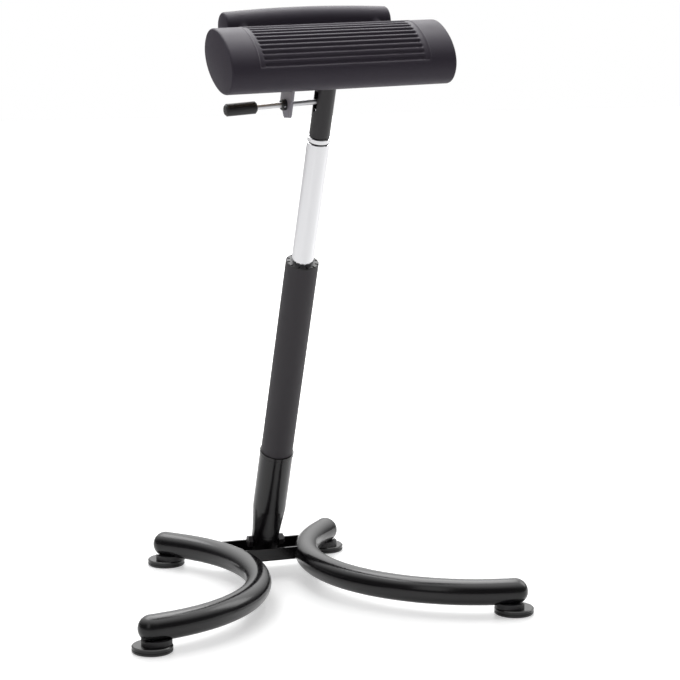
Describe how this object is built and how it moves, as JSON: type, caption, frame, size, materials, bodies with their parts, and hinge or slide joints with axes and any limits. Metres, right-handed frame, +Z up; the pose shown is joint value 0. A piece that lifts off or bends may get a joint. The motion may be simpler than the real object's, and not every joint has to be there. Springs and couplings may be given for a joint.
{
  "type": "perch stool",
  "caption": "Standing perch stool: leaning gas-spring column on a bent-tube base, ribbed padded seat roll, rear padded bar and a release lever under the seat.",
  "frame": {"origin": "on the floor, under the middle of the overall box, on the stool's left-right middle plane", "axes": "+Z up; -Y is the front, the way the column leans and the user's feet point; X runs along the seat, with the release lever on the -X side"},
  "size_m": [0.6254, 0.5134, 0.9123],
  "materials": {
    "frame_paint": "satin",
    "column_paint": "matte",
    "bright_chrome": "polished",
    "black_plastic": "matte",
    "glossy_plastic": "gloss",
    "pad_skin": "satin",
    "black_rubber": "matte",
    "zinc_steel": "zinc-plated steel",
    "black_steel": "satin",
    "plywood": "unfinished birch plywood",
    "bare_steel": "ground steel"
  },
  "bodies": {
    "base": {"leg_left": "frame_paint", "leg_right": "frame_paint", "foot_screws": "zinc_steel", "end_plug_front_left": "glossy_plastic", "foot_saddle_front_left": "black_plastic", "foot_disc_front_left": "glossy_plastic", "end_plug_front_right": "glossy_plastic", "foot_saddle_front_right": "black_plastic", "foot_disc_front_right": "glossy_plastic", "end_plug_back_left": "glossy_plastic", "foot_saddle_back_left": "black_plastic", "foot_disc_back_left": "glossy_plastic", "end_plug_back_right": "glossy_plastic", "foot_saddle_back_right": "black_plastic", "foot_disc_back_right": "glossy_plastic", "hub_tray": "frame_paint", "column_stub": "bare_steel", "column_socket": "frame_paint", "cross_bolt": "black_steel", "cross_nut": "black_steel", "stand_tube": "column_paint", "bottom_plate": "bare_steel", "guide_bush": "black_plastic", "bearing_lower_race": "bare_steel"},
    "spring_rod": {"piston_rod": "bright_chrome", "gas_piston": "bare_steel", "bump_stop": "black_rubber", "retaining_clip": "bare_steel", "bearing_upper_race": "bare_steel", "bearing_cage": "black_plastic"},
    "seat": {"gas_cylinder": "bright_chrome", "sealing_ring": "black_rubber", "chrome_collar": "bright_chrome", "rod_gland": "bare_steel", "neck_tube": "black_steel", "carrier_plate": "black_steel", "lever_bracket": "black_steel", "lever_bush": "black_plastic", "lever_pin": "zinc_steel", "bar_arm_left": "bright_chrome", "bar_arm_right": "bright_chrome", "board_screws": "zinc_steel", "seat_pad": "pad_skin", "seat_board": "plywood", "rear_bar_pad": "pad_skin", "rear_bar_core": "bare_steel"},
    "release_lever": {"lever_rod": "bright_chrome", "lever_grip": "black_plastic"},
    "release_button": {"release_pin": "zinc_steel"}
  },
  "joints": [
    {"name": "seat_swivel", "type": "hinge", "parent": "base", "child": "spring_rod", "pos_m": [0, 0.14853, 0], "axis": [0, -0.3746, 0.9272], "continuous": true},
    {"name": "seat_height", "type": "slide", "parent": "spring_rod", "child": "seat", "axis": [0, -0.3746, 0.9272], "range_m": [-0.19, 0]},
    {"name": "lever_lift", "type": "hinge", "parent": "seat", "child": "release_lever", "pos_m": [-0.0633, -0.16825, 0.77047], "axis": [-0.0802, 0.9242, 0.3734], "range_deg": [0, 3.7], "stiffness_Nm_per_rad": 8, "springref_deg": -2.86},
    {"name": "button_press", "type": "slide", "parent": "seat", "child": "release_button", "axis": [0, 0.3746, -0.9272], "range_m": [0, 0.0043]}
  ],
  "couplings": [
    {"joint": "button_press", "follows": "lever_lift", "m_per_rad": 0.0635}
  ]
}
